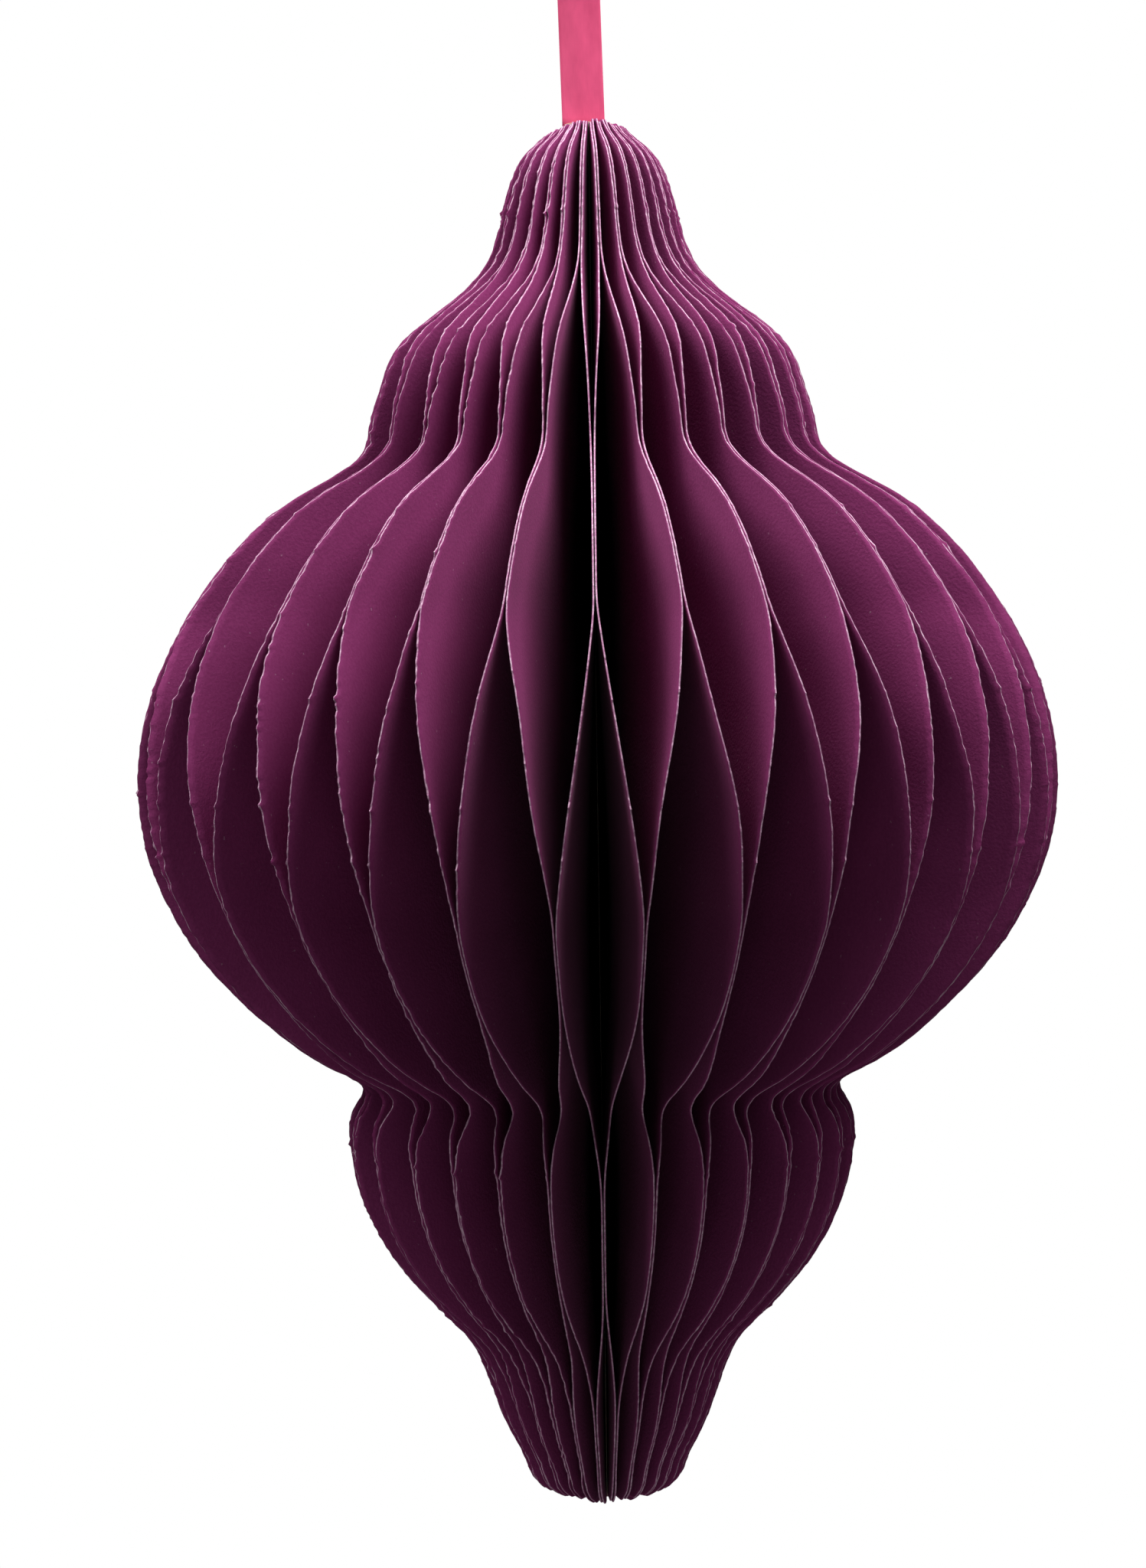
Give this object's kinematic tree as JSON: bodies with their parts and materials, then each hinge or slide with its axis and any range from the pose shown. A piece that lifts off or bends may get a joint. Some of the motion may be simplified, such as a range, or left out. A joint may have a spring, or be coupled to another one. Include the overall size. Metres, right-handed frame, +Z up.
{
  "type": "hanging paper ornament",
  "caption": "Drop-shaped paper honeycomb ornament of glued leaves that fan open round a bound core and hang from a satin ribbon loop.",
  "frame": {"origin": "on the drop's axis, on the inside of the ribbon loop's top, where a hook bears", "axes": "+Z up along the drop's axis; -Y towards the front; the seam where it opens is at the back, +Y"},
  "size_m": [0.13, 0.1299, 0.3016],
  "materials": {
    "plum_paper": "matte",
    "satin_ribbon": "satin",
    "glue": "satin"
  },
  "bodies": {
    "ribbon": {"ribbon_loop": "satin_ribbon"},
    "core": {"glue_core": "glue", "ribbon_end_front": "satin_ribbon", "ribbon_end_back": "satin_ribbon", "front_glue": "glue"},
    "pair_right_01": {"leaf_pair_right_01": "plum_paper"},
    "pair_right_02": {"leaf_pair_right_02": "plum_paper"},
    "pair_right_03": {"leaf_pair_right_03": "plum_paper"},
    "pair_right_04": {"leaf_pair_right_04": "plum_paper"},
    "pair_right_05": {"leaf_pair_right_05": "plum_paper"},
    "pair_right_06": {"leaf_pair_right_06": "plum_paper"},
    "pair_right_07": {"leaf_pair_right_07": "plum_paper"},
    "pair_right_08": {"leaf_pair_right_08": "plum_paper"},
    "pair_right_09": {"leaf_pair_right_09": "plum_paper"},
    "pair_right_10": {"leaf_pair_right_10": "plum_paper"},
    "pair_right_11": {"leaf_pair_right_11": "plum_paper"},
    "pair_right_12": {"leaf_pair_right_12": "plum_paper"},
    "pair_right_13": {"leaf_pair_right_13": "plum_paper"},
    "pair_right_14": {"leaf_pair_right_14": "plum_paper"},
    "pair_right_15": {"leaf_pair_right_15": "plum_paper"},
    "pair_right_16": {"leaf_pair_right_16": "plum_paper"},
    "cover_right": {"cover_right": "plum_paper", "closure_dot_upper": "glue", "closure_dot_middle": "glue", "closure_dot_lower": "glue"},
    "pair_left_01": {"leaf_pair_left_01": "plum_paper"},
    "pair_left_02": {"leaf_pair_left_02": "plum_paper"},
    "pair_left_03": {"leaf_pair_left_03": "plum_paper"},
    "pair_left_04": {"leaf_pair_left_04": "plum_paper"},
    "pair_left_05": {"leaf_pair_left_05": "plum_paper"},
    "pair_left_06": {"leaf_pair_left_06": "plum_paper"},
    "pair_left_07": {"leaf_pair_left_07": "plum_paper"},
    "pair_left_08": {"leaf_pair_left_08": "plum_paper"},
    "pair_left_09": {"leaf_pair_left_09": "plum_paper"},
    "pair_left_10": {"leaf_pair_left_10": "plum_paper"},
    "pair_left_11": {"leaf_pair_left_11": "plum_paper"},
    "pair_left_12": {"leaf_pair_left_12": "plum_paper"},
    "pair_left_13": {"leaf_pair_left_13": "plum_paper"},
    "pair_left_14": {"leaf_pair_left_14": "plum_paper"},
    "pair_left_15": {"leaf_pair_left_15": "plum_paper"},
    "pair_left_16": {"leaf_pair_left_16": "plum_paper"},
    "cover_left": {"cover_left": "plum_paper"}
  },
  "joints": [
    {"name": "ribbon_bend", "type": "hinge", "parent": "ribbon", "child": "core", "pos_m": [0, 0, -0.10426], "axis": [1, 0, 0], "range_deg": [-50, 50]},
    {"name": "fold_right_01", "type": "hinge", "parent": "core", "child": "pair_right_01", "pos_m": [0, -0.00368, -0.10426], "axis": [0, 0, -1], "range_deg": [0, 5.62], "deforming": ["leaf_pair_right_01"]},
    {"name": "fold_right_02", "type": "hinge", "parent": "pair_right_01", "child": "pair_right_02", "pos_m": [0.0007, -0.00361, -0.10426], "axis": [0, 0, -1], "range_deg": [0, 11.25], "deforming": ["leaf_pair_right_02"]},
    {"name": "fold_right_03", "type": "hinge", "parent": "pair_right_02", "child": "pair_right_03", "pos_m": [0.00137, -0.00341, -0.10426], "axis": [0, 0, -1], "range_deg": [0, 11.25], "deforming": ["leaf_pair_right_03"]},
    {"name": "fold_right_04", "type": "hinge", "parent": "pair_right_03", "child": "pair_right_04", "pos_m": [0.00199, -0.00309, -0.10426], "axis": [0, 0, -1], "range_deg": [0, 11.25], "deforming": ["leaf_pair_right_04"]},
    {"name": "fold_right_05", "type": "hinge", "parent": "pair_right_04", "child": "pair_right_05", "pos_m": [0.00254, -0.00266, -0.10426], "axis": [0, 0, -1], "range_deg": [0, 11.25], "deforming": ["leaf_pair_right_05"]},
    {"name": "fold_right_06", "type": "hinge", "parent": "pair_right_05", "child": "pair_right_06", "pos_m": [0.00299, -0.00213, -0.10426], "axis": [0, 0, -1], "range_deg": [0, 11.22], "deforming": ["leaf_pair_right_06"]},
    {"name": "fold_right_07", "type": "hinge", "parent": "pair_right_06", "child": "pair_right_07", "pos_m": [0.00334, -0.00153, -0.10426], "axis": [0, 0, -1], "range_deg": [0, 10.92], "deforming": ["leaf_pair_right_07"]},
    {"name": "fold_right_08", "type": "hinge", "parent": "pair_right_07", "child": "pair_right_08", "pos_m": [0.00357, -0.00087, -0.10426], "axis": [0, 0, -1], "range_deg": [0, 10.52], "deforming": ["leaf_pair_right_08"]},
    {"name": "fold_right_09", "type": "hinge", "parent": "pair_right_08", "child": "pair_right_09", "pos_m": [0.00367, -0.00017, -0.10426], "axis": [0, 0, -1], "range_deg": [0, 10.21], "deforming": ["leaf_pair_right_09"]},
    {"name": "fold_right_10", "type": "hinge", "parent": "pair_right_09", "child": "pair_right_10", "pos_m": [0.00364, 0.00052, -0.10426], "axis": [0, 0, -1], "range_deg": [0, 9.99], "deforming": ["leaf_pair_right_10"]},
    {"name": "fold_right_11", "type": "hinge", "parent": "pair_right_10", "child": "pair_right_11", "pos_m": [0.00347, 0.0012, -0.10426], "axis": [0, 0, -1], "range_deg": [0, 9.88], "deforming": ["leaf_pair_right_11"]},
    {"name": "fold_right_12", "type": "hinge", "parent": "pair_right_11", "child": "pair_right_12", "pos_m": [0.00318, 0.00184, -0.10426], "axis": [0, 0, -1], "range_deg": [0, 9.86], "deforming": ["leaf_pair_right_12"]},
    {"name": "fold_right_13", "type": "hinge", "parent": "pair_right_12", "child": "pair_right_13", "pos_m": [0.00278, 0.00241, -0.10426], "axis": [0, 0, -1], "range_deg": [0, 9.94], "deforming": ["leaf_pair_right_13"]},
    {"name": "fold_right_14", "type": "hinge", "parent": "pair_right_13", "child": "pair_right_14", "pos_m": [0.00227, 0.00289, -0.10426], "axis": [0, 0, -1], "range_deg": [0, 10.12], "deforming": ["leaf_pair_right_14"]},
    {"name": "fold_right_15", "type": "hinge", "parent": "pair_right_14", "child": "pair_right_15", "pos_m": [0.00168, 0.00327, -0.10426], "axis": [0, 0, -1], "range_deg": [0, 10.4], "deforming": ["leaf_pair_right_15"]},
    {"name": "fold_right_16", "type": "hinge", "parent": "pair_right_15", "child": "pair_right_16", "pos_m": [0.00104, 0.00353, -0.10426], "axis": [0, 0, -1], "range_deg": [0, 10.78], "deforming": ["leaf_pair_right_16"]},
    {"name": "fold_right_cover", "type": "hinge", "parent": "pair_right_16", "child": "cover_right", "pos_m": [0.00035, 0.00366, -0.10426], "axis": [0, 0, -1], "range_deg": [0, 5.53]},
    {"name": "fold_left_01", "type": "hinge", "parent": "core", "child": "pair_left_01", "pos_m": [0, -0.00368, -0.10426], "axis": [0, 0, 1], "range_deg": [0, 5.62], "deforming": ["leaf_pair_left_01"]},
    {"name": "fold_left_02", "type": "hinge", "parent": "pair_left_01", "child": "pair_left_02", "pos_m": [-0.0007, -0.00361, -0.10426], "axis": [0, 0, 1], "range_deg": [0, 11.25], "deforming": ["leaf_pair_left_02"]},
    {"name": "fold_left_03", "type": "hinge", "parent": "pair_left_02", "child": "pair_left_03", "pos_m": [-0.00137, -0.00341, -0.10426], "axis": [0, 0, 1], "range_deg": [0, 11.25], "deforming": ["leaf_pair_left_03"]},
    {"name": "fold_left_04", "type": "hinge", "parent": "pair_left_03", "child": "pair_left_04", "pos_m": [-0.00199, -0.00309, -0.10426], "axis": [0, 0, 1], "range_deg": [0, 11.52], "deforming": ["leaf_pair_left_04"]},
    {"name": "fold_left_05", "type": "hinge", "parent": "pair_left_04", "child": "pair_left_05", "pos_m": [-0.00254, -0.00266, -0.10426], "axis": [0, 0, 1], "range_deg": [0, 13.92], "deforming": ["leaf_pair_left_05"]},
    {"name": "fold_left_06", "type": "hinge", "parent": "pair_left_05", "child": "pair_left_06", "pos_m": [-0.00299, -0.00213, -0.10426], "axis": [0, 0, 1], "range_deg": [0, 15.56], "deforming": ["leaf_pair_left_06"]},
    {"name": "fold_left_07", "type": "hinge", "parent": "pair_left_06", "child": "pair_left_07", "pos_m": [-0.00334, -0.00153, -0.10426], "axis": [0, 0, 1], "range_deg": [0, 13.78], "deforming": ["leaf_pair_left_07"]},
    {"name": "fold_left_08", "type": "hinge", "parent": "pair_left_07", "child": "pair_left_08", "pos_m": [-0.00357, -0.00087, -0.10426], "axis": [0, 0, 1], "range_deg": [0, 11.47], "deforming": ["leaf_pair_left_08"]},
    {"name": "fold_left_09", "type": "hinge", "parent": "pair_left_08", "child": "pair_left_09", "pos_m": [-0.00367, -0.00017, -0.10426], "axis": [0, 0, 1], "range_deg": [0, 11.25], "deforming": ["leaf_pair_left_09"]},
    {"name": "fold_left_10", "type": "hinge", "parent": "pair_left_09", "child": "pair_left_10", "pos_m": [-0.00364, 0.00052, -0.10426], "axis": [0, 0, 1], "range_deg": [0, 11.25], "deforming": ["leaf_pair_left_10"]},
    {"name": "fold_left_11", "type": "hinge", "parent": "pair_left_10", "child": "pair_left_11", "pos_m": [-0.00347, 0.0012, -0.10426], "axis": [0, 0, 1], "range_deg": [0, 11.25], "deforming": ["leaf_pair_left_11"]},
    {"name": "fold_left_12", "type": "hinge", "parent": "pair_left_11", "child": "pair_left_12", "pos_m": [-0.00318, 0.00184, -0.10426], "axis": [0, 0, 1], "range_deg": [0, 11.25], "deforming": ["leaf_pair_left_12"]},
    {"name": "fold_left_13", "type": "hinge", "parent": "pair_left_12", "child": "pair_left_13", "pos_m": [-0.00278, 0.00241, -0.10426], "axis": [0, 0, 1], "range_deg": [0, 11.25], "deforming": ["leaf_pair_left_13"]},
    {"name": "fold_left_14", "type": "hinge", "parent": "pair_left_13", "child": "pair_left_14", "pos_m": [-0.00227, 0.00289, -0.10426], "axis": [0, 0, 1], "range_deg": [0, 11.25], "deforming": ["leaf_pair_left_14"]},
    {"name": "fold_left_15", "type": "hinge", "parent": "pair_left_14", "child": "pair_left_15", "pos_m": [-0.00168, 0.00327, -0.10426], "axis": [0, 0, 1], "range_deg": [0, 11.25], "deforming": ["leaf_pair_left_15"]},
    {"name": "fold_left_16", "type": "hinge", "parent": "pair_left_15", "child": "pair_left_16", "pos_m": [-0.00104, 0.00353, -0.10426], "axis": [0, 0, 1], "range_deg": [0, 11.25], "deforming": ["leaf_pair_left_16"]},
    {"name": "fold_left_cover", "type": "hinge", "parent": "pair_left_16", "child": "cover_left", "pos_m": [-0.00035, 0.00366, -0.10426], "axis": [0, 0, 1], "range_deg": [0, 5.62]}
  ],
  "couplings": [
    {"joint": "fold_right_02", "follows": "fold_right_01", "ratio": 2},
    {"joint": "fold_right_03", "follows": "fold_right_01", "ratio": 2},
    {"joint": "fold_right_04", "follows": "fold_right_01", "ratio": 2},
    {"joint": "fold_right_05", "follows": "fold_right_01", "ratio": 2},
    {"joint": "fold_right_06", "follows": "fold_right_01", "ratio": 1.9944},
    {"joint": "fold_right_07", "follows": "fold_right_01", "ratio": 1.9419},
    {"joint": "fold_right_08", "follows": "fold_right_01", "ratio": 1.87},
    {"joint": "fold_right_09", "follows": "fold_right_01", "ratio": 1.8143},
    {"joint": "fold_right_10", "follows": "fold_right_01", "ratio": 1.7762},
    {"joint": "fold_right_11", "follows": "fold_right_01", "ratio": 1.7557},
    {"joint": "fold_right_12", "follows": "fold_right_01", "ratio": 1.7528},
    {"joint": "fold_right_13", "follows": "fold_right_01", "ratio": 1.7674},
    {"joint": "fold_right_14", "follows": "fold_right_01", "ratio": 1.7997},
    {"joint": "fold_right_15", "follows": "fold_right_01", "ratio": 1.8495},
    {"joint": "fold_right_16", "follows": "fold_right_01", "ratio": 1.9169},
    {"joint": "fold_right_cover", "follows": "fold_right_01", "ratio": 0.98333},
    {"joint": "fold_left_01", "follows": "fold_right_01", "ratio": 1},
    {"joint": "fold_left_02", "follows": "fold_right_01", "ratio": 2},
    {"joint": "fold_left_03", "follows": "fold_right_01", "ratio": 2},
    {"joint": "fold_left_04", "follows": "fold_right_01", "ratio": 2.0477},
    {"joint": "fold_left_05", "follows": "fold_right_01", "ratio": 2.4743},
    {"joint": "fold_left_06", "follows": "fold_right_01", "ratio": 2.7654},
    {"joint": "fold_left_07", "follows": "fold_right_01", "ratio": 2.4506},
    {"joint": "fold_left_08", "follows": "fold_right_01", "ratio": 2.0398},
    {"joint": "fold_left_09", "follows": "fold_right_01", "ratio": 2},
    {"joint": "fold_left_10", "follows": "fold_right_01", "ratio": 2},
    {"joint": "fold_left_11", "follows": "fold_right_01", "ratio": 2},
    {"joint": "fold_left_12", "follows": "fold_right_01", "ratio": 2},
    {"joint": "fold_left_13", "follows": "fold_right_01", "ratio": 2},
    {"joint": "fold_left_14", "follows": "fold_right_01", "ratio": 2},
    {"joint": "fold_left_15", "follows": "fold_right_01", "ratio": 2},
    {"joint": "fold_left_16", "follows": "fold_right_01", "ratio": 2},
    {"joint": "fold_left_cover", "follows": "fold_right_01", "ratio": 1}
  ]
}
